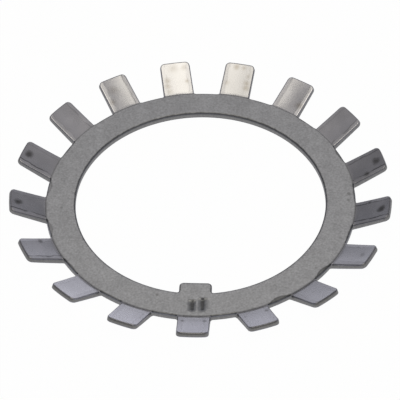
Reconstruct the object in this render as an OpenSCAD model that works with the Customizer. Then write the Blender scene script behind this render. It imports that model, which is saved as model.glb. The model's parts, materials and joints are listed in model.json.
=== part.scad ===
// Bearing lock washer: one pressed and formed piece of steel sheet.
// A flat ring carries one flat tang inside its bore, which sits in the shaft's keyway,
// and a row of tabs round its rim, bent up so that one of them can be knocked into a nut's slot.
// The bore's axis is Z, the underside lies on z = 0, and the tang points from -Y to the axis.
// All lengths are millimetres and all angles are degrees.

/* [Ring] */
// Diameter of the bore, which is the size of the shaft
bore_d = 45; // [36:0.5:60]
// Radial width of the flat ring, from the bore to the rim
ring_w = 5.4; // [4:0.1:9]
// Thickness of the sheet
sheet_t = 1.25; // [0.8:0.05:2]
// Radius rolled on the upper edges of the bore and the rim by the blanking die
edge_roll_r = 0.3; // [0.1:0.05:0.4]

/* [Tabs] */
// Number of tabs round the rim
tab_count = 17; // [9:1:23]
// Width of a tab
tab_w = 5.7; // [3.5:0.1:7.5]
// Reach of a bent tab beyond the rim, seen from above
tab_reach = 6.5; // [4:0.1:10]
// Angle by which the tabs are bent up
tab_bend = 27; // [15:1:45]
// Inside radius of the bend at a tab's root
bend_r = 0.6; // [0.3:0.1:1.5]
// Depth by which the forming die coins a tab's upper face below the ring's
coin_depth = 0.35; // [0.1:0.05:0.5]
// Corner radius at a tab's tip
tab_corner_r = 0.7; // [0.2:0.1:1.5]
// Fillet radius between a tab's side and the rim
tab_root_r = 0.6; // [0.2:0.1:1.2]

/* [Tang] */
// Width of the tang, to suit the shaft's keyway
tang_w = 5.7; // [4:0.1:9]
// Reach of the tang into the bore
tang_reach = 2.5; // [2.1:0.1:5]
// Corner radius at the tang's tip
tang_corner_r = 0.8; // [0.2:0.1:1.1]
// Fillet radius between the tang's side and the bore
tang_root_r = 0.9; // [0.2:0.1:1.1]

/* [Punch marks] */
// Number of punched dents side by side behind the tang
mark_count = 2; // [1:1:3]
// Width of a dent at the ring's upper face
mark_w = 1.1; // [0.7:0.1:1.5]
// Length of a dent along the radius
mark_l = 2.8; // [1.8:0.1:3.5]
// Depth of a dent
mark_depth = 0.3; // [0.15:0.05:0.45]
// Distance between the middles of two dents
mark_pitch = 1.6; // [1.3:0.1:3]
// Distance from the bore to the middle of a dent
mark_from_bore = 2.4; // [2:0.1:3.4]
// Distance of the dents' middle from the tang's line
mark_shift = 0.3; // [-1:0.1:1]

/* [Hidden] */
$fn = 96;

bore_r = bore_d / 2;
rim_r = bore_r + ring_w;
tip_r = rim_r + tab_reach;
tab_t = sheet_t - coin_depth;
tab_pitch = 360 / tab_count;

// Depth by which a tab or the tang is rooted in the ring's own metal
root_seat = ring_w / 4;
// Depth by which a root fillet dips below the round edge that it runs into, so that the two cross
// at a small angle and do not just touch
fillet_dip = 0.01;
// Length by which cutting shapes run past the metal that they trim
overrun = sheet_t + tab_reach;

// A tab stays flat for a roll's radius outside the rim. The bend's axis lies above the place where it
// starts to rise, and the straight blade leaves the bend at the bend angle.
bend_start_r = rim_r + edge_roll_r;
bend_axis_z = tab_t + bend_r;
bend_outer_r = tab_t + bend_r;
blade_l = (tip_r - bend_start_r - bend_outer_r * sin(tab_bend)) / cos(tab_bend);
// The tip is round about the bore's axis, seen from above, so its radius is shorter along the slope
tip_slope_r = tip_r * cos(tab_bend);

// Ball radius of the punch whose dent has the stated width and depth
punch_r = (pow(mark_w / 2, 2) + pow(mark_depth, 2)) / (2 * mark_depth);

// Length of the side that is left from the hypotenuse and the other side of a right triangle
function other_side(hypotenuse, side) = sqrt(hypotenuse * hypotenuse - side * side);

// Point at a distance from the origin, in the direction of another point
function along(point, distance) = point * distance / norm(point);

// Places a tab or the tang, drawn along +X, at a turn from -Y
module at_turn(turn) {
    rotate([0, 0, turn - 90]) children();
}

// Half outline of the ring's section, with both upper edges rolled
module ring_section() {
    translate([bore_r, 0]) square([ring_w, sheet_t - edge_roll_r]);
    translate([bore_r + edge_roll_r, 0]) square([ring_w - 2 * edge_roll_r, sheet_t]);
    for (r = [bore_r + edge_roll_r, rim_r - edge_roll_r])
        translate([r, sheet_t - edge_roll_r]) circle(edge_roll_r);
}

module ring() {
    rotate_extrude() ring_section();
}

// Everything above one face of the bent sheet: the circle of its bend and the slope that leaves it.
// The origin is the bend's axis, and room is how far the slope runs past the tab's tip and above it.
module above_face(face_r, room) {
    circle(face_r);
    rotate(tab_bend)
        translate([0, -face_r]) square([blade_l + room, face_r + room]);
}

// Section of the formed flange that the tabs are cut from: seat in the ring, bend and straight blade
module flange_section() {
    translate([rim_r - root_seat, 0]) square([root_seat + edge_roll_r, tab_t]);
    intersection() {
        translate([bend_start_r, 0]) square(3 * overrun);
        translate([bend_start_r, bend_axis_z]) difference() {
            above_face(bend_outer_r, overrun);
            above_face(bend_r, 2 * overrun);
        }
    }
}

// Part of the flange, wide enough for one tab with its fillets
module flange() {
    spread = tab_pitch;
    rotate([0, 0, -spread / 2]) rotate_extrude(angle = spread) flange_section();
}

// Outline of a tab in the plane of its slope, with x = 0 where the bend ends
module tab_outline() {
    arc_x = blade_l - tip_slope_r;
    corner_y = tab_w / 2 - tab_corner_r;
    corner_dx = other_side(tip_slope_r - tab_corner_r, corner_y);
    side_x = arc_x + corner_dx;
    translate([-overrun, -tab_w / 2]) square([overrun + side_x, tab_w]);
    translate([arc_x, 0]) {
        intersection() {
            circle(tip_slope_r);
            polygon([[0, 0], 2 * [corner_dx, -corner_y], 2 * [corner_dx, corner_y]]);
        }
        for (side = [-1, 1])
            translate([corner_dx, side * corner_y]) circle(tab_corner_r);
    }
}

// Outline of the two fillets between a straight-sided part of half width half_w and a round edge.
// The part crosses the edge along X. outward is 1 for an outer rim and -1 for a bore.
module root_fillets(edge_r, half_w, fillet_r, outward) {
    centre_r = edge_r + outward * (fillet_r - fillet_dip);
    centre = [other_side(centre_r, half_w + fillet_r), half_w + fillet_r];
    side_point = [centre.x, half_w];
    edge_point = along(centre, edge_r);
    seat_r = edge_r - outward * root_seat;
    inside_y = half_w / 2;
    for (side = [0, 1])
        mirror([0, side]) difference() {
            polygon([
                side_point,
                edge_point,
                along(centre, seat_r),
                [other_side(seat_r, inside_y), inside_y],
                [side_point.x, inside_y],
            ]);
            translate(centre) circle(fillet_r);
        }
}

// One tab along +X: the flange trimmed to the tab's outline, square to its slope
module tab() {
    intersection() {
        flange();
        union() {
            translate([bend_start_r, 0, bend_axis_z]) rotate([0, -tab_bend, 0])
                translate([0, 0, -2 * overrun]) linear_extrude(3 * overrun) tab_outline();
            translate([0, 0, -overrun]) linear_extrude(3 * overrun)
                root_fillets(rim_r, tab_w / 2, tab_root_r, 1);
        }
    }
}

// Outline of the tang along X, with its tip towards the axis
module tang_outline() {
    tip_x = bore_r - tang_reach;
    seat_x = bore_r + root_seat;
    corner_y = tang_w / 2 - tang_corner_r;
    translate([tip_x + tang_corner_r, -tang_w / 2]) square([seat_x - tip_x - tang_corner_r, tang_w]);
    translate([tip_x, -corner_y]) square([seat_x - tip_x, 2 * corner_y]);
    for (side = [-1, 1])
        translate([tip_x + tang_corner_r, side * corner_y]) circle(tang_corner_r);
    root_fillets(bore_r, tang_w / 2, tang_root_r, -1);
}

module tang() {
    linear_extrude(sheet_t) tang_outline();
}

// One round-ended punch lying along X, with the middle of its length at the origin
module punch() {
    straight_l = mark_l - mark_w;
    rotate([0, 90, 0]) rotate_extrude() intersection() {
        union() {
            translate([0, -straight_l / 2]) square([punch_r, straight_l]);
            for (end = [-1, 1])
                translate([0, end * straight_l / 2]) circle(punch_r);
        }
        translate([0, -mark_l - punch_r]) square(2 * (mark_l + punch_r));
    }
}

// The dents lie side by side in the ring, behind the tang
module punch_marks() {
    first_y = mark_shift - (mark_count - 1) / 2 * mark_pitch;
    for (i = [0 : mark_count - 1])
        translate([bore_r + mark_from_bore, first_y + i * mark_pitch, sheet_t - mark_depth + punch_r])
            punch();
}

module lock_washer() {
    color("#8d8f91") difference() {
        union() {
            ring();
            at_turn(0) tang();
            for (i = [0 : tab_count - 1]) at_turn(i * tab_pitch) tab();
        }
        at_turn(0) punch_marks();
    }
}

lock_washer();
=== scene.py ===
# %% [markdown]
# # A bearing lock washer
# The washer is one pressing of steel sheet. Its flat ring lies between a bearing and a slotted nut, its
# tang sits in a keyway of the shaft, and one of its bent tabs is knocked into a slot of the nut. The packed
# solid gives the frame: it is loaded first, and its box is kept to be printed with the visual model's box
# at the end.

# %% Load the frame
import json
import math

import bmesh
import bpy
from mathutils import Matrix, Vector


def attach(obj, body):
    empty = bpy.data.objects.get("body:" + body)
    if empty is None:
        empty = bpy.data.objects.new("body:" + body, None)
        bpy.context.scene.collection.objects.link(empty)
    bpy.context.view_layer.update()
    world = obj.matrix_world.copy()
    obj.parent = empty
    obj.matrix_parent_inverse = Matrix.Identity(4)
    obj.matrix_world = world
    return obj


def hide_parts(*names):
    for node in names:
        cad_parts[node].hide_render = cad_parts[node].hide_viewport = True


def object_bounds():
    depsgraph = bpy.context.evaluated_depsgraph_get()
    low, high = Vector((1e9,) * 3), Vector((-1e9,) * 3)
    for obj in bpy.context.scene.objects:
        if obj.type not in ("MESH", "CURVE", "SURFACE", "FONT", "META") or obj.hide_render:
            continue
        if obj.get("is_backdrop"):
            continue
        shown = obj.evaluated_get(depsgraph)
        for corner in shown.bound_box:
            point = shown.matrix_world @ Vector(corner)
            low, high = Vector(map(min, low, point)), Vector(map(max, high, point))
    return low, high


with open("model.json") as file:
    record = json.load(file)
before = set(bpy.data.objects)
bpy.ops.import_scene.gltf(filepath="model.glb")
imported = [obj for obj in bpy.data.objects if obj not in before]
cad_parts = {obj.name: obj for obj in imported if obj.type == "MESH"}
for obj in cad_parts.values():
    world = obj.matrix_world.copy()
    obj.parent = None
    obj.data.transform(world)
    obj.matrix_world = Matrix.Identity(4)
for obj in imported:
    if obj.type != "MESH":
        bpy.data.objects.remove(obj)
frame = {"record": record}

solid_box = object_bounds()
print("box of the solid, in metres:", [tuple(round(c, 5) for c in corner) for corner in solid_box])

# %% [markdown]
# ## Sizes
# The ring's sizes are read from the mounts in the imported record, so that they follow the solid. The press
# shop's other sizes are repeated here. The mesh is modelled in millimetres, because that is how a washer is
# drawn, and it is scaled to metres at the very end.

# %% Sizes in millimetres
MILLIMETRE = 0.001
mounts = {mount["name"]: mount for mount in frame["record"]["mounts"]}
BORE_R = mounts["keyed_bore"]["dims"]["r_mm"]
SHEET_T = mounts["keyed_bore"]["dims"]["length_mm"]
RIM_R = 2 * mounts["nut_face"]["pos_m"][0] / MILLIMETRE - BORE_R
RING_W = RIM_R - BORE_R

TAB_COUNT = 17
TAB_W = 5.7
TAB_REACH = 6.5
TAB_BEND = math.radians(26)
BEND_R = 0.6
COIN_DEPTH = 0.35
TAB_T = SHEET_T - COIN_DEPTH
TANG_W = 5.7
TANG_REACH = 2.5
print(f"ring {2 * BORE_R:.1f} to {2 * RIM_R:.1f} mm, sheet {SHEET_T} mm, {TAB_COUNT} tabs of {TAB_W} mm")

# %% [markdown]
# ## The blank, one pitch at a time
# A press tool first cuts the flat blank out of the sheet. The blank repeats 17 times, so one pitch of it is
# drawn, with the ring laid out straight: X runs outwards from the rim and Y along it. Straight cuts and
# insets then stay simple, and the strip is rolled up into a ring later. A few corners make the outline, and
# a bevel of its vertices gives the tool's corner radii. The strip starts too long and is trimmed
# afterwards, so that no edge row runs along the seam.

# %% Outline of a plain pitch
PITCH = 2 * math.pi * RIM_R / TAB_COUNT
STRIP_SPARE = 1.0
BEND_AXIS = TAB_T + BEND_R
BEND_MIDDLE = BEND_R + TAB_T / 2
BLADE_L = (TAB_REACH - BEND_AXIS * math.sin(TAB_BEND)) / math.cos(TAB_BEND)
BLADE_START = BEND_MIDDLE * TAB_BEND
TAB_L = BLADE_START + BLADE_L
CORNER_STEPS = 6
CORNER_SNAP = 0.01
NOTES = ("edge_gap", "along", "across", "depth", "facet", "grime", "dent", "gloss", "rub")


def draw_outline(corners):
    strip = bmesh.new()
    strip.faces.new([strip.verts.new((x, y, 0.0)) for x, y in corners])
    for name in NOTES:
        strip.verts.layers.float.new(name)
    return strip


def round_corners(strip, places, radius):
    places = [Vector(place) for place in places]
    found = [v for v in strip.verts if any((v.co.xy - place).length < CORNER_SNAP for place in places)]
    bmesh.ops.bevel(strip, geom=found, offset=radius, offset_type="OFFSET", segments=CORNER_STEPS,
                    profile=0.5, affect="VERTICES", material=-1)


half_strip = PITCH / 2 + STRIP_SPARE
tab_side = TAB_W / 2
tab_roots = [(0.0, -tab_side), (0.0, tab_side)]
tab_tips = [(TAB_L, -tab_side), (TAB_L, tab_side)]
outer_corners = [(0.0, -half_strip), tab_roots[0], *tab_tips, tab_roots[1], (0.0, half_strip)]
bore_corners = [(-RING_W, half_strip), (-RING_W, -half_strip)]

plain_pitch = draw_outline(outer_corners + bore_corners)
print(f"one pitch is {PITCH:.2f} mm long and a tab {TAB_L:.2f} mm before it is bent")

# %% [markdown]
# ## The pitch with the tang
# One pitch also carries the tang, which points into the bore. Rolling up will squeeze this inner edge, so
# the strip is squeezed by the same amount while the tang's corners are rounded, and their arcs stay round.

# %% Outline of the tang's pitch and the corner radii
TAB_CORNER_R = 0.8
TAB_ROOT_R = 0.4
TANG_CORNER_R = 0.8
TANG_ROOT_R = 0.45
bore_squeeze = BORE_R / RIM_R
tang_side = TANG_W / 2 / bore_squeeze
tang_tip = -RING_W - TANG_REACH
tang_roots = [(-RING_W, tang_side), (-RING_W, -tang_side)]
tang_tips = [(tang_tip, tang_side), (tang_tip, -tang_side)]

tang_corners = [tang_roots[0], *tang_tips, tang_roots[1]]
tang_pitch = draw_outline(outer_corners + bore_corners[:1] + tang_corners + bore_corners[1:])
for strip in (plain_pitch, tang_pitch):
    round_corners(strip, tab_tips, TAB_CORNER_R)
    round_corners(strip, tab_roots, TAB_ROOT_R)

bmesh.ops.scale(tang_pitch, verts=tang_pitch.verts, vec=(1.0, bore_squeeze, 1.0))
squeezed = [[(x, y * bore_squeeze) for x, y in places] for places in (tang_tips, tang_roots)]
round_corners(tang_pitch, squeezed[0], TANG_CORNER_R)
round_corners(tang_pitch, squeezed[1], TANG_ROOT_R)
bmesh.ops.scale(tang_pitch, verts=tang_pitch.verts, vec=(1.0, 1.0 / bore_squeeze, 1.0))
print("corners of the outlines:", len(plain_pitch.verts), "plain,", len(tang_pitch.verts), "with the tang")

# %% [markdown]
# ## Rows along the cut edge
# Blanking drags the sheet's upper edge down into a soft roll. The roll needs rows of faces that follow the
# outline, so the outline is inset a few times. Each row remembers its distance from the cut edge, and the
# forming step below turns that distance into the roll's depth.

# %% Inset rows
UPPER_ROLL_R = 0.3
EDGE_ROWS = [0.04, 0.11, 0.2, UPPER_ROLL_R, 0.6]


def inset_rows(strip):
    edge_gap = strip.verts.layers.float["edge_gap"]
    face = strip.faces[:][0]
    reached = 0.0
    for row in EDGE_ROWS:
        bmesh.ops.inset_region(strip, faces=[face], use_boundary=True, use_even_offset=True,
                               thickness=row - reached)
        for vert in face.verts:
            vert[edge_gap] = row
        reached = row


inset_rows(plain_pitch)
inset_rows(tang_pitch)
print("faces with the edge rows:", len(plain_pitch.faces), "and", len(tang_pitch.faces))

# %% [markdown]
# ## Dicing the strip
# A flat face can't bend, so planes slice the strip into small faces: close together at the crease, where
# the tab leaves the ring, and under the punch marks, and wider apart elsewhere. The cuts along the strip
# are the same for every pitch, so that neighbours meet vertex to vertex at the seam.

# %% Slice and trim
CUT_SNAP = 0.004
STRIP_W = 0.85
ALONG = Vector((1.0, 0.0, 0.0))
ACROSS = Vector((0.0, 1.0, 0.0))


def spaced(first, last, count):
    return [first + (last - first) * i / (count - 1) for i in range(count)]


def slice_strip(strip, direction, places, **kept):
    for place in places:
        geometry = strip.verts[:] + strip.edges[:] + strip.faces[:]
        bmesh.ops.bisect_plane(strip, geom=geometry, dist=CUT_SNAP, plane_co=direction * place,
                               plane_no=direction, **kept)


panel_side = tab_side - STRIP_W
ring_cuts = spaced(-4.75, -1.0, 25)
crease_cuts = [-0.8, -0.45, -0.25, -0.12, -0.04, 0.06, 0.14, 0.26, 0.4, BLADE_START]
blade_cuts = spaced(BLADE_START + 0.45, TAB_L - 0.6, 9)
rim_cuts = [side * y for side in (-1, 1) for y in (3.1, 3.5, 3.9, 4.3, 4.7)]
strip_cuts = [side * (panel_side + step) for side in (-1, 1) for step in (0.0, 0.1)]
tab_cuts = spaced(-panel_side + 0.3, panel_side - 0.3, 7)
mark_cuts = spaced(-1.7, 2.2, 33)

for strip in (plain_pitch, tang_pitch):
    slice_strip(strip, ALONG, ring_cuts + crease_cuts + blade_cuts)
    slice_strip(strip, ACROSS, rim_cuts + strip_cuts + tab_cuts)
slice_strip(tang_pitch, ACROSS, mark_cuts)
for strip in (plain_pitch, tang_pitch):
    slice_strip(strip, ACROSS, [PITCH / 2], clear_outer=True)
    slice_strip(strip, -ACROSS, [PITCH / 2], clear_outer=True)
print("faces after slicing:", len(plain_pitch.faces), "and", len(tang_pitch.faces))

# %% [markdown]
# ## Rolling the strip up
# The distance along the strip becomes an angle about the bore's axis. Outside the rim the angle shrinks
# with the radius, so that the sides of the tabs stay parallel. Inside the bore the strip straightens out
# again, because the tang's tip is a straight cut. A spin then copies the plain pitch round to the other
# fifteen places, the tang's pitch fills the gap, and the seams are merged.

# %% Make the flat ring
PITCH_TURN = 2 * math.pi / TAB_COUNT
TANG_TURN = -math.pi / 2
SEAM_SNAP = 0.001


def roll_up(strip, turn):
    along = strip.verts.layers.float["along"]
    across = strip.verts.layers.float["across"]
    place = Matrix.Rotation(turn, 3, "Z")
    for vert in strip.verts:
        x, y = vert.co.x, vert.co.y
        vert[along], vert[across] = x, abs(y)
        radius = RIM_R + x
        angle = y / RIM_R * min(1.0, RIM_R / radius) * max(1.0, BORE_R / radius)
        round_place = radius * Vector((math.cos(angle), math.sin(angle), 0.0))
        straight_place = Vector((radius, y * bore_squeeze, 0.0))
        straightness = min(max((BORE_R - radius) / TANG_REACH, 0.0), 1.0)
        vert.co = place @ round_place.lerp(straight_place, straightness)


roll_up(tang_pitch, TANG_TURN)
roll_up(plain_pitch, TANG_TURN + PITCH_TURN)
bmesh.ops.spin(plain_pitch, geom=plain_pitch.verts[:] + plain_pitch.edges[:] + plain_pitch.faces[:],
               cent=(0.0, 0.0, 0.0), axis=(0.0, 0.0, 1.0), angle=PITCH_TURN * (TAB_COUNT - 2),
               steps=TAB_COUNT - 2, use_duplicate=True)
spare_mesh = bpy.data.meshes.new("tang_pitch")
tang_pitch.to_mesh(spare_mesh)
tang_pitch.free()

blank = plain_pitch
blank.from_mesh(spare_mesh)
bpy.data.meshes.remove(spare_mesh)
bmesh.ops.remove_doubles(blank, verts=blank.verts, dist=SEAM_SNAP)
bmesh.ops.recalc_face_normals(blank, faces=blank.faces)
open_edges = sum(edge.is_boundary for edge in blank.edges)
print(f"flat ring: {len(blank.faces)} faces, {open_edges} edges along its cut outline")

# %% [markdown]
# ## Thickness
# The flat ring is extruded upwards by the sheet's thickness. The old faces are kept as the underside, and
# the extrusion makes the cut walls. Each vertex notes which side it belongs to. The notching punch also
# left a shallow facet on the rim between two tabs, wide in some notches and hardly there in others, so each
# vertex of the upper side notes the facet's width and how much darker the colour is in the notch nearest to
# it. Each vertex also notes its tab's factor of painted light, which makes the tab's colour brighter or
# darker for how much light that tab mirrors. It also notes how strong the painted shade line along the
# panel's border is on this side of the tab.

# %% Extrude the sheet
TOP = 1.0
FACET_W = [0.3, 0.8, 0.7, 0.38, 0.4, 0.55, 0.3, 0.25, 0.25, 0.25, 0.3, 0.42, 0.8, 0.75, 0.4, 0.3, 0.3]
# How much darker each notch facet's colour is, one value per notch.
FACET_DARKENING = [0.4, 1.0, 1.0, 0.6, 0.5, 0.6, 0.3, 0.3, 0.3, 0.3, 0.3, 0.5, 0.25, 0.25, 0.6, 0.4, 0.4]
# Painted light: a factor per tab that makes its colour brighter or darker, for how much light it mirrors.
TAB_PAINTED_LIGHT = [1.08, 0.97, 0.86, 1.08, 0.86, 0.8, 1.02, 1.2, 0.86, 1.0, 1.05, 1.0, 0.88, 0.9, 1.1, 1.2, 1.15]
# Painted shade: how strong the dark line along a tab's panel border is, for the listed sides and all
# others.
PLAIN_BORDER_SHADE = 0.2
BORDER_SHADE_SIDES = {(12, 1): 1.0, (13, 1): 1.0, (14, 1): 0.7, (5, -1): 1.0, (5, 1): 0.6, (4, -1): 1.0,
                (4, 1): 0.9, (6, -1): 0.5, (11, -1): 0.35, (10, -1): 0.5, (7, -1): 0.5, (3, 1): 0.4}

raised = bmesh.ops.extrude_face_region(blank, geom=blank.faces[:], use_keep_orig=True)
top_verts = [item for item in raised["geom"] if isinstance(item, bmesh.types.BMVert)]
bmesh.ops.translate(blank, verts=top_verts, vec=(0.0, 0.0, SHEET_T))
bmesh.ops.recalc_face_normals(blank, faces=blank.faces)

depth = blank.verts.layers.float["depth"]
facet = blank.verts.layers.float["facet"]
grime = blank.verts.layers.float["grime"]
gloss = blank.verts.layers.float["gloss"]
rub = blank.verts.layers.float["rub"]


def pitches_from_tang(vert):
    return (math.atan2(vert.co.y, vert.co.x) - TANG_TURN) % (2 * math.pi) / PITCH_TURN


for vert in blank.verts:
    vert[gloss] = TAB_PAINTED_LIGHT[round(pitches_from_tang(vert)) % TAB_COUNT]
for vert in top_verts:
    pitches = pitches_from_tang(vert)
    notch, tab = int(pitches) % TAB_COUNT, round(pitches)
    vert[depth], vert[facet], vert[grime] = TOP, FACET_W[notch], FACET_DARKENING[notch]
    vert[rub] = BORDER_SHADE_SIDES.get((tab % TAB_COUNT, 1 if pitches > tab else -1), PLAIN_BORDER_SHADE)
print("faces of the thick sheet:", len(blank.faces))

# %% [markdown]
# ## Pressing
# One stroke of the press gives the sheet its form. The cut edges roll over, the tabs are coined a little
# thinner than the ring and bent up about its rim, and two punch marks are struck behind the tang. All of it
# depends only on a vertex's place in the blank, so one function moves each vertex, as a lattice or a sculpt
# brush would, and no face has to be remade.

# %% Shape functions of the press
LOWER_ROLL_R = 0.25
CREASE = (-0.04, 0.06)
PANEL_RISE = (0.1, 0.9)
COIN_STEP = 0.12
TAB_ROLL_SHARE = 0.65
FACET_HALF_L = 2.1
FACET_SLOPE = 0.09
FACET_SOFT_L = 0.3
PANEL_DISH = 0.025
STRIP_DROP = 0.03
TIP_CURL = math.radians(2.0)
MARK_LEFT, MARK_RIGHT = 1.05, 0.8
MARK_START, MARK_END = 0.3, 0.9
MARKS = [(25.2, -0.35, 1.5, 0.26), (24.95, 1.4, 1.9, 0.3)]


def ramp(low, high, value):
    share = min(max((value - low) / (high - low), 0.0), 1.0)
    return share * share * (3.0 - 2.0 * share)


def rolled(gap, radius):
    return radius - math.sqrt(max(radius ** 2 - max(radius - gap, 0.0) ** 2, 0.0))


def coined(past_rim):
    share = min(max(past_rim / TAB_L, 0.0), 1.0)
    return (COIN_STEP + (COIN_DEPTH - COIN_STEP) * share) * ramp(*CREASE, past_rim)


def facet_drop(width, past_rim, from_tab):
    lens = width * (1.0 - ((PITCH / 2 - from_tab) / FACET_HALF_L) ** 2)
    inside = max(lens + min(past_rim, 0.0), 0.0)
    return FACET_SLOPE * inside ** 2 / (inside + FACET_SOFT_L)


def punched(point):
    for radius, side, straight, deepest in MARKS:
        outwards, sideways = -point.y - radius, point.x - side
        past_end = max(abs(outwards) - straight / 2, 0.0)
        end_l = MARK_START if outwards < 0.0 else MARK_END
        off_side = sideways / (MARK_LEFT if sideways < 0.0 else MARK_RIGHT)
        depth_share = 1.0 - math.hypot(past_end / end_l, off_side)
        # The darker colour reaches further past a dent's ends than its depth does. It is grime in the
        # groove, and painted shade over the end slopes, which would otherwise catch a glint of the lamp.
        dirt_and_shade_share = 1.0 - math.hypot(max(past_end - MARK_START, 0.0) / end_l, off_side)
        yield deepest * ramp(0.0, 1.0, depth_share), max(dirt_and_shade_share, 0.0)


def bent(along_rim, height):
    if along_rim <= 0.0:
        return RIM_R + along_rim, height
    turn = min(along_rim / BEND_MIDDLE, TAB_BEND)
    past = max(along_rim - BLADE_START, 0.0)
    lift = TIP_CURL * past ** 3 / (3.0 * BLADE_L ** 2)
    reach = BEND_AXIS - height - lift
    return (RIM_R + reach * math.sin(turn) + past * math.cos(TAB_BEND),
            BEND_AXIS - reach * math.cos(turn) + past * math.sin(TAB_BEND))


print("facets:", min(FACET_W), "to", max(FACET_W), "mm wide; punch marks:", len(MARKS))

# %% [markdown]
# The upper side gets everything in turn. A tab's middle is a panel that the die has pressed a little deeper
# than the two strips at its sides, and the strips fall away towards the cut edge. The underside only has
# the small rolls that tumbling leaves.

# %% Press every vertex
edge_gap = blank.verts.layers.float["edge_gap"]
along = blank.verts.layers.float["along"]
across = blank.verts.layers.float["across"]
dent = blank.verts.layers.float["dent"]
for vert in blank.verts:
    past_rim, gap = vert[along], vert[edge_gap]
    on_tab = ramp(*CREASE, past_rim)
    roll_share = 1.0 - (1.0 - TAB_ROLL_SHARE) * on_tab
    if vert[depth] == TOP:
        height = SHEET_T - coined(past_rim) - rolled(gap, UPPER_ROLL_R * roll_share)
        dish = PANEL_DISH * max(1.0 - (vert[across] / panel_side) ** 2, 0.0)
        off_side = max(vert[across] - panel_side, 0.0) / STRIP_W
        height -= (dish + STRIP_DROP * off_side) * ramp(*PANEL_RISE, past_rim)
        height -= facet_drop(vert[facet], past_rim, vert[across]) * (1.0 - on_tab)
        # Each punch mark also notes how dark its colour is made: grime in the groove and painted shade on
        # its slopes.
        for drop, dirt_and_shade in punched(vert.co):
            height -= drop
            vert[dent] = max(vert[dent], dirt_and_shade)
    else:
        height = rolled(gap, LOWER_ROLL_R * roll_share)
    radius, height = bent(past_rim, height)
    flat = vert.co.xy * (radius / (RIM_R + past_rim))
    vert.co = Vector((flat.x, flat.y, height))
highest = max(vert.co.z for vert in blank.verts)
print(f"tips reach {max(vert.co.xy.length for vert in blank.verts):.2f} mm out and {highest:.2f} mm up")

# %% [markdown]
# ## From millimetres to a piece
# The mesh is scaled to metres and becomes one object. The faces are sorted by the finish they get: the ring
# is tumbled, the tabs are burnished by the forming die, and the cut walls are sheared.
# Only real creases stay sharp, so the rolls shade softly.

# %% Make the object
SHARP_ANGLE = math.radians(40)
CUT_GAP = 0.001
TAB_FACE_START = 0.03
TUMBLED, PRESSED, SHEARED = range(3)

bmesh.ops.scale(blank, verts=blank.verts, vec=(MILLIMETRE,) * 3)
for edge in blank.edges:
    edge.smooth = edge.calc_face_angle(0.0) < SHARP_ANGLE
for face in blank.faces:
    face.smooth = True
    middle = sum(vert[along] for vert in face.verts) / len(face.verts)
    if max(vert[edge_gap] for vert in face.verts) < CUT_GAP:
        face.material_index = SHEARED
    elif middle > TAB_FACE_START:
        face.material_index = PRESSED
    else:
        face.material_index = TUMBLED

washer_mesh = bpy.data.meshes.new("lock_washer_pressing")
blank.to_mesh(washer_mesh)
not_closed = sum(not edge.is_manifold for edge in blank.edges)
blank.free()
washer = bpy.data.objects.new("lock_washer_pressing", washer_mesh)
bpy.context.scene.collection.objects.link(washer)
even_shading = washer.modifiers.new("even_shading", "WEIGHTED_NORMAL")
even_shading.keep_sharp = True
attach(washer, "root")
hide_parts("lock_washer")
print("pressing:", len(washer_mesh.polygons), "faces,", not_closed, "edges not closed")

# %% [markdown]
# ## A small language for shaders
# The finishes below are sums and products of noise, of distances and of the notes that the mesh carries. A
# small class wraps one output of a node. Arithmetic between wrapped outputs adds Math nodes, and one method
# adds any other node, so that a finish reads like a formula.

# %% Wrapped node outputs
class Signal:
    def __init__(self, tree, socket=None):
        self.tree = tree
        self.socket = socket

    def add(self, kind, settings=None, values=None, output=0):
        node = self.tree.nodes.new("ShaderNode" + kind)
        for name, value in (settings or {}).items():
            setattr(node, name, value)
        for place, value in (values or {}).items():
            self.feed(node.inputs[place], value)
        return Signal(self.tree, node.outputs[output])

    def feed(self, socket, value):
        if isinstance(value, Signal):
            self.tree.links.new(value.socket, socket)
        else:
            socket.default_value = value

    def maths(self, operation, first, second):
        return self.add("Math", {"operation": operation}, {0: first, 1: second})

    def __add__(self, other):
        return self.maths("ADD", self, other)

    def __radd__(self, other):
        return self.maths("ADD", other, self)

    def __sub__(self, other):
        return self.maths("SUBTRACT", self, other)

    def __rsub__(self, other):
        return self.maths("SUBTRACT", other, self)

    def __mul__(self, other):
        return self.maths("MULTIPLY", self, other)

    def __rmul__(self, other):
        return self.maths("MULTIPLY", other, self)

    def __truediv__(self, other):
        return self.maths("DIVIDE", self, other)

    def __rtruediv__(self, other):
        return self.maths("DIVIDE", other, self)

    def __pow__(self, other):
        return self.maths("POWER", self, other)

    def __rpow__(self, other):
        return self.maths("POWER", other, self)

    def __abs__(self):
        return self.maths("ABSOLUTE", self, 0.0)


print("signs of arithmetic that become nodes: + - * / ** abs")

# %% [markdown]
# A few helpers name what the finishes share. A ramp turns a value into a soft mask, noise is read in object
# space, so that it stays with the metal, and a note is one of the numbers that the mesh carries.

# %% Shared parts of the finishes
def smooth(value, low, high):
    return value.add("MapRange", {"interpolation_type": "SMOOTHSTEP"},
                     {"Value": value, "From Min": low, "From Max": high})


def noise(place, per_metre, detail=2.0):
    return place.add("TexNoise", {}, {"Vector": place, "Scale": per_metre, "Detail": detail}, "Fac")


def note(start, name):
    return start.add("Attribute", {"attribute_type": "GEOMETRY", "attribute_name": name}, {}, "Fac")


def larger(first, second):
    return first.maths("MAXIMUM", first, second)


def metal(name):
    finish = bpy.data.materials.new(name)
    finish.use_nodes = True
    washer_mesh.materials.append(finish)
    shader = finish.node_tree.nodes["Principled BSDF"]
    shader.inputs["Metallic"].default_value = 1.0
    start = Signal(finish.node_tree)
    return start, shader, start.add("TexCoord", {}, {}, "Object")


def tinted(tone, tint):
    return tone.add("VectorMath", {"operation": "SCALE"}, {0: tint, "Scale": tone})


def mixed(share, first, second):
    return share.add("Mix", {"data_type": "RGBA"}, {0: share, 6: first, 7: second}, 2)


print("helpers are ready")

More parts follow.
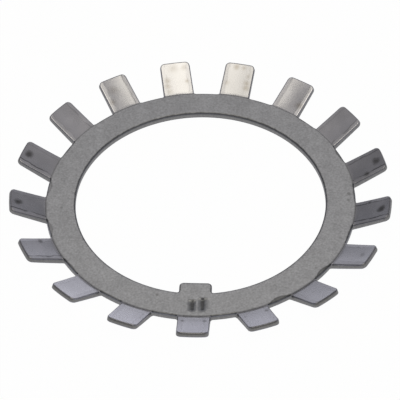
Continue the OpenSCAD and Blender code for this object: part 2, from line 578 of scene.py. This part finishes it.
# %% [markdown]
# Marks on the metal are placed in the blank's own terms: how many pitches from the tang, how far past the
# rim and how far to the side of the tab's middle. The press function turns these into a place on the formed
# metal.

# %% Places on the formed metal
def on_metal(pitches, past_rim, sideways):
    radius, height = bent(past_rim, SHEET_T - coined(past_rim))
    forward = math.sqrt(radius ** 2 - sideways ** 2)
    return Matrix.Rotation(TANG_TURN + pitches * PITCH_TURN, 3, "Z") @ Vector((forward, sideways, height))


def spotted(place, spots, ragged, softness):
    mask = 0.0 * ragged
    for pitches, past_rim, sideways, size, strength in spots:
        middle = on_metal(pitches, past_rim, sideways) * MILLIMETRE
        gap = place.add("VectorMath", {"operation": "DISTANCE"}, {0: place, 1: middle}, "Value")
        share = gap / (size * MILLIMETRE) + (0.9 + softness) * (ragged - 0.5)
        mask = larger(mask, strength * smooth(share, 1.0 + softness, 0.3 - softness))
    return mask


print("middle of the first tab's tip, in mm:", [round(c, 2) for c in on_metal(0, TAB_L, 0.0)])

# %% [markdown]
# ## Tumbled ring
# Blanks are tumbled with stones to take the burrs off, which leaves a matte grey face with a fine grain.
# Metal shows what it mirrors, so its base colour is only mid grey, and a high roughness spreads the light.
# The colour is darker in several places. Along the rolled edge and at the crease under a tab this is
# painted shade. Each notch facet is darker by its own listed amount, with a thin painted shade line along
# its inner edge. The dents are darkened by grime in the grooves, and the darkening reaches over their end
# slopes and deep core as painted shade, which covers a glint. A few pits come from handling. The stamped
# characters of the real washer are left off.

# %% Finish of the ring
RING_TONE = 0.545
RING_TINT = (0.957, 0.976, 1.082)
GRIME_TINT = (0.06, 0.058, 0.058, 1.0)
RING_SPOTS = [(4.48, -1.13, 0.0, 0.5, 0.4), (4.32, -1.32, 0.0, 0.45, 0.35), (3.36, -1.33, 0.0, 0.45, 0.3),
              (2.49, -1.6, 0.0, 0.35, 0.25), (16.25, -3.9, 0.0, 0.4, 0.35), (13.03, -2.86, 0.0, 0.4, 0.3)]

start, shader, place = metal("tumbled_ring")
grain = noise(place, 2900.0)
mottle = noise(place, 450.0, 3.0)
wobble = noise(place, 1300.0)
gap, past_rim, from_tab = note(start, "edge_gap"), note(start, "along"), note(start, "across")

# Painted shade: the ring's colour is darker along the rolled edge, a little less on the notch facets.
roll_shade = smooth(gap + 0.24 * (wobble - 0.5), 0.42, 0.12)
# Painted shade: the ring's colour is darker at the crease under each tab.
crease_shade = smooth(past_rim, -0.36, -0.08) * smooth(from_tab, tab_side + 0.6, tab_side + 0.1)
# Where the notch facet lies. Its colour is made darker by the amount noted for its notch.
lens = note(start, "facet") * (1.0 - ((PITCH / 2 - from_tab) / FACET_HALF_L) ** 2.0)
inside = lens + past_rim + 0.22 * (wobble - 0.5)
on_facet = smooth(inside, -0.12, 0.14)
# Painted shade: a thin darker line along the facet's inner edge, where it meets the flat ring.
outline = on_facet * smooth(inside, 0.4, 0.05)
# The dents' colour is darker: grime in the grooves, and painted shade over the end slopes and the deep
# core.
dent_dirt_and_shade = smooth(note(start, "dent"), 0.0, 0.35)
dent_core_dirt_and_shade = smooth(note(start, "dent") + 0.5 * (wobble - 0.5), 0.4, 0.9)

tone = RING_TONE * (1.0 + 0.75 * (grain - 0.5) + 0.25 * (mottle - 0.5))
tone = tone * (1.0 - 0.78 * roll_shade * (1.0 - 0.35 * on_facet)) * (1.0 - 0.4 * crease_shade)
tone = tone * (1.0 - 0.55 * note(start, "grime") * on_facet) * (1.0 - 0.25 * outline)
tone = tone * (1.0 - 0.33 * dent_dirt_and_shade) * (1.0 - 0.6 * dent_core_dirt_and_shade)
colour = mixed(spotted(place, RING_SPOTS, wobble, 0.0), tinted(tone, RING_TINT), GRIME_TINT)
start.feed(shader.inputs["Base Color"], colour)
start.feed(shader.inputs["Roughness"], 0.5 + 0.1 * (mottle - 0.5))
bump = start.add("Bump", {}, {"Strength": 0.3, "Distance": 0.00002, "Height": grain})
start.feed(shader.inputs["Normal"], bump)
print("nodes of the ring's finish:", len(start.tree.nodes))

# %% [markdown]
# ## Burnished tabs
# The forming die rubs the tabs smooth, so they mirror their surroundings far more than the ring: the tabs
# at the back catch the lamp, those at the sides the dark walls of the room. Each tab's colour is also made
# brighter or darker by a factor of its own, painted light that stands in for how much light the tab
# mirrors.
# The panel in a tab's middle and the strips at its sides differ a little in gloss. Along the border
# between them runs a painted shade line, broken up with noise and stronger on some sides. The cut edge and
# the crease at the root are painted darker as shade. The die also leaves dark rubbing marks, one near a tip
# and two near a root, which show more on some tabs than on others.

# %% Finish of the tabs
TAB_TONE = 0.48
TAB_TINT = (0.975, 0.975, 1.11)
SMUDGE_TINT = (0.2, 0.17, 0.14, 1.0)
TAB_SPOTS = [(12, 5.55, 0.15, 1.0, 0.75), (13, 5.45, 0.1, 0.95, 0.8), (5, 5.5, -0.2, 1.0, 0.7),
             (4, 5.35, -0.15, 1.0, 0.8), (3, 5.1, 0.15, 0.7, 0.3), (0, 2.0, -1.9, 0.5, 0.55),
             (0, 2.0, 1.9, 0.5, 0.55), (1, 2.0, 1.95, 0.5, 0.5), (1, 2.25, -1.9, 0.45, 0.3),
             (14, 2.85, -1.95, 0.6, 0.5), (5, 3.1, -2.0, 0.7, 0.5), (4, 3.0, 2.15, 0.5, 0.4)]
TAB_SMUDGES = [(9, 3.4, 1.8, 0.7, 0.5), (9, 2.4, 1.9, 0.7, 0.45), (9, 1.2, 1.7, 0.7, 0.35),
               (9, 3.0, -1.85, 0.5, 0.6), (9, 5.9, 0.3, 0.9, 0.3), (9, 5.8, -1.6, 0.6, 0.3),
               (8, 3.2, -1.9, 0.7, 0.5), (8, 2.3, -1.9, 0.7, 0.5), (8, 4.6, -2.0, 0.6, 0.35),
               (8, 2.8, 1.9, 0.6, 0.35), (8, 6.2, 0.6, 0.6, 0.5), (8, 6.1, -0.8, 0.5, 0.4),
               (10, 2.4, 1.9, 0.8, 0.5), (10, 4.6, 0.8, 1.0, 0.3), (7, 2.4, -1.9, 0.8, 0.5)]

start, shader, place = metal("burnished_tab")
clouds = noise(place, 260.0, 4.0)
patches = noise(place, 420.0, 2.0)
slow = noise(place, 520.0)
wobble = noise(place, 1000.0)
drawn_out = place.add("VectorMath", {"operation": "MULTIPLY"}, {0: place, 1: (1.0, 0.1, 0.5)})
scratches = smooth(noise(drawn_out, 5000.0), 0.6, 0.72)
gap, past_rim, from_tab = note(start, "edge_gap"), note(start, "along"), note(start, "across")

off_panel = from_tab - panel_side + 0.9 * (slow - 0.5) + 0.3 * (wobble - 0.5)
strip_mask = smooth(off_panel, -0.06, 0.08)
# Painted shade: a dark line along the border between panel and strips, broken up by noise.
border_shade = smooth(abs(off_panel), 0.08 + 0.24 * patches, 0.02) * smooth(patches, 0.3, 0.55)
border_shade = border_shade * note(start, "rub")
# Painted shade: darker colour along the cut edge, which hides the highlight on its roll, and at the crease
# by the root.
edge = smooth(gap, 0.2, 0.06)
crease_shade = smooth(past_rim, 0.16, 0.06)

# Painted light: each tab's colour is scaled by its noted factor.
tone = TAB_TONE * note(start, "gloss") * (1.0 + 0.45 * (clouds - 0.5) + 0.03 * scratches)
tone = tone * (1.0 + 0.06 * strip_mask) * (1.0 - 0.65 * border_shade)
tone = tone * (1.0 - 0.6 * edge) * (1.0 - 0.3 * crease_shade)
colour = mixed(spotted(place, TAB_SMUDGES, patches, 0.5), tinted(tone, TAB_TINT), SMUDGE_TINT)
colour = mixed(spotted(place, TAB_SPOTS, wobble, 0.1), colour, GRIME_TINT)
start.feed(shader.inputs["Base Color"], colour)
start.feed(shader.inputs["Roughness"], 0.27 + 0.12 * (clouds - 0.5) + 0.06 * strip_mask)
print("nodes of the tabs' finish:", len(start.tree.nodes))

# %% [markdown]
# ## Sheared walls
# A blanking punch first burnishes the upper part of the wall and then tears the rest. The torn part is
# rough and streaked across the sheet, so the noise is stretched along Z. The burnished band is smoother,
# and its colour is painted darker as shade.

# %% Finish of the walls
# The walls' low base tone is partly painted shade. It stands in for the washer's shadow on the floor, which
# the walls mirror.
WALL_TONE = 0.25
WALL_TINT = (1.02, 1.01, 0.97)

start, shader, place = metal("sheared_edge")
lengthways = place.add("VectorMath", {"operation": "MULTIPLY"}, {0: place, 1: (1.0, 1.0, 0.12)})
streaks = noise(lengthways, 3500.0, 3.0)
wobble = noise(place, 700.0)
# The upper band of the wall is the real burnish, which is smoother. Its colour is painted darker as shade.
burnish_and_shade = smooth(note(start, "depth") + 0.25 * (wobble - 0.5), 0.62, 0.8)
tone = WALL_TONE * (1.0 + 0.5 * (streaks - 0.5)) * (1.0 - 0.3 * burnish_and_shade)
start.feed(shader.inputs["Base Color"], tinted(tone, WALL_TINT))
start.feed(shader.inputs["Roughness"], 0.6 - 0.2 * burnish_and_shade)
bump = start.add("Bump", {}, {"Strength": 0.3, "Distance": 0.00003, "Height": streaks})
start.feed(shader.inputs["Normal"], bump)
print("nodes of the walls' finish:", len(start.tree.nodes))

# %% [markdown]
# ## Floor
# The photo's background is plain white paper. Where the camera or a mirrored ray sees the floor, most of it
# is an even white glow, and the rest is lit paper, which keeps the washer's soft shadow. All other rays see
# only lit paper, so the floor doesn't light the washer more than paper would. From below the floor is
# clear, so that the underside can be looked at too, and it lies a hair under the washer, so that no two
# faces share a plane.

# %% Floor
FLOOR_SIZE = 3.0
FLOOR_GLOW = 0.98
FLOOR_DROP = 0.00002
WHITE = (1.0, 1.0, 1.0, 1.0)
PAPER = (0.95, 0.95, 0.95, 1.0)
MIRRORED_PAPER = (0.96, 0.96, 1.02, 1.0)

floor_mesh = bpy.data.meshes.new("studio_floor")
sheet = bmesh.new()
bmesh.ops.create_grid(sheet, x_segments=1, y_segments=1, size=FLOOR_SIZE)
sheet.to_mesh(floor_mesh)
sheet.free()
floor = bpy.data.objects.new("studio_floor", floor_mesh)
bpy.context.scene.collection.objects.link(floor)
floor.location.z = -FLOOR_DROP
floor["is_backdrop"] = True

paper = bpy.data.materials.new("white_paper")
paper.use_nodes = True
floor_mesh.materials.append(paper)
start = Signal(paper.node_tree)
lit_paper = paper.node_tree.nodes["Principled BSDF"]
lit_paper.inputs["Base Color"].default_value = PAPER
mirrored = start.add("LightPath", {}, {}, "Is Glossy Ray")
seen = larger(start.add("LightPath", {}, {}, "Is Camera Ray"), mirrored)
glow = start.add("Emission", {}, {"Color": mixed(mirrored, WHITE, MIRRORED_PAPER)})
lit = Signal(start.tree, lit_paper.outputs[0])
sheet_top = start.add("MixShader", {}, {0: FLOOR_GLOW * seen, 1: lit, 2: glow})
from_below = start.add("NewGeometry", {}, {}, "Backfacing")
surface = start.add("MixShader", {}, {0: from_below, 1: sheet_top, 2: start.add("BsdfTransparent")})
start.feed(paper.node_tree.nodes["Material Output"].inputs["Surface"], surface)
print(f"floor: {2 * FLOOR_SIZE:.0f} m wide, {FLOOR_GLOW:.0%} of what the camera sees is even white")

# %% [markdown]
# ## Light
# A photo of bright metal is mostly a picture of the room. The far tabs show one large warm lamp overhead,
# the sides a dim room, and the near tabs the pale horizon. So the room is a gradient that falls off upwards
# and is a little brighter on the right, and a round softbox hangs above the washer, a little towards the
# camera.

# %% Room and softbox
ROOM_LOW, ROOM_DIM, ROOM_HIGH = 1.0, 0.27, 0.43
ROOM_TILT = 0.15
DIMMING, BRIGHTENING, WARMING = (0.0, 0.4), (0.5, 0.74), (0.3, 0.9)
WARM_WHITE = (1.0, 0.96, 0.88, 1.0)
LAMP_COLOUR = (1.0, 0.947, 0.735)
LAMP_PLACE = Vector((-0.01, -0.08, 0.6))
LAMP_HALF_ANGLE = math.radians(20)
LAMP_LEVEL = 1.9

world = bpy.data.worlds.new("studio")
bpy.context.scene.world = world
world.use_nodes = True
start = Signal(world.node_tree)
direction = start.add("TexCoord", {}, {}, "Generated")
sideways = start.add("SeparateXYZ", {}, {0: direction}, "X")
upwards = start.add("SeparateXYZ", {}, {0: direction}, "Z")
level = ROOM_LOW - (ROOM_LOW - ROOM_DIM) * smooth(upwards, *DIMMING)
level = level + (ROOM_HIGH - ROOM_DIM) * smooth(upwards, *BRIGHTENING)
backdrop = world.node_tree.nodes["Background"]
warmth = mixed(smooth(upwards, *WARMING), WHITE, WARM_WHITE)
start.feed(backdrop.inputs["Color"], warmth)
start.feed(backdrop.inputs["Strength"], level * (1.0 + ROOM_TILT * sideways))

lamp = bpy.data.lights.new("overhead_softbox", "AREA")
lamp.shape = "DISK"
lamp.color = LAMP_COLOUR
lamp.size = 2 * LAMP_PLACE.z * math.tan(LAMP_HALF_ANGLE)
lamp.energy = LAMP_LEVEL * math.pi * math.pi * (lamp.size / 2) ** 2
softbox = bpy.data.objects.new("overhead_softbox", lamp)
softbox.location = LAMP_PLACE
bpy.context.scene.collection.objects.link(softbox)
print(f"softbox {lamp.size:.2f} m across with {lamp.energy:.1f} W")

# %% [markdown]
# ## Camera
# The camera stands where the photo was taken. Its turn, height, roll, distance and focal length were found
# by laying the washer's outline over the photo's, so they are plain numbers here.

# %% Camera
VIEW_TURN = math.radians(3.293)
VIEW_ELEVATION = math.radians(45.890)
VIEW_ROLL = math.radians(-1.295)
VIEW_DISTANCE = 0.4600
FOCAL_PIXELS = 2548.0
AIM = Vector((-0.000089, 0.00122, 0.0))
PICTURE_PIXELS = 400
SENSOR = 36.0
CLIP_START = 0.01

turn = Matrix.Rotation(VIEW_TURN, 3, "Z")
back = turn @ Vector((0.0, -math.cos(VIEW_ELEVATION), math.sin(VIEW_ELEVATION)))
right = turn @ Vector((1.0, 0.0, 0.0))
up = back.cross(right)
rolled_right = math.cos(VIEW_ROLL) * right + math.sin(VIEW_ROLL) * up
rolled_up = back.cross(rolled_right)
place = turn @ AIM + VIEW_DISTANCE * back

camera_data = bpy.data.cameras.new("photo_camera")
camera_data.sensor_width = SENSOR
camera_data.lens = FOCAL_PIXELS * SENSOR / PICTURE_PIXELS
camera_data.clip_start = CLIP_START
camera = bpy.data.objects.new("photo_camera", camera_data)
axes = Matrix((rolled_right, rolled_up, back)).transposed()
camera.matrix_world = Matrix.Translation(place) @ axes.to_4x4()
bpy.context.scene.collection.objects.link(camera)
bpy.context.scene.camera = camera
bpy.context.scene.view_settings.view_transform = "Standard"
print(f"camera: {camera_data.lens:.1f} mm lens, {VIEW_DISTANCE * 1000:.0f} mm from the washer")

# %% [markdown]
# ## Sizes of both boxes
# The visual model must fill the same box as the solid. Both boxes are printed in millimetres, one after the
# other.

# %% Print both boxes
visual_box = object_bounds()
sizes = {name: [list(corner) for corner in box]
         for name, box in (("solid", solid_box), ("visual", visual_box))}
for name, (low, high) in sizes.items():
    print(name, "is", [round((b - a) / MILLIMETRE, 2) for a, b in zip(low, high)], "mm")
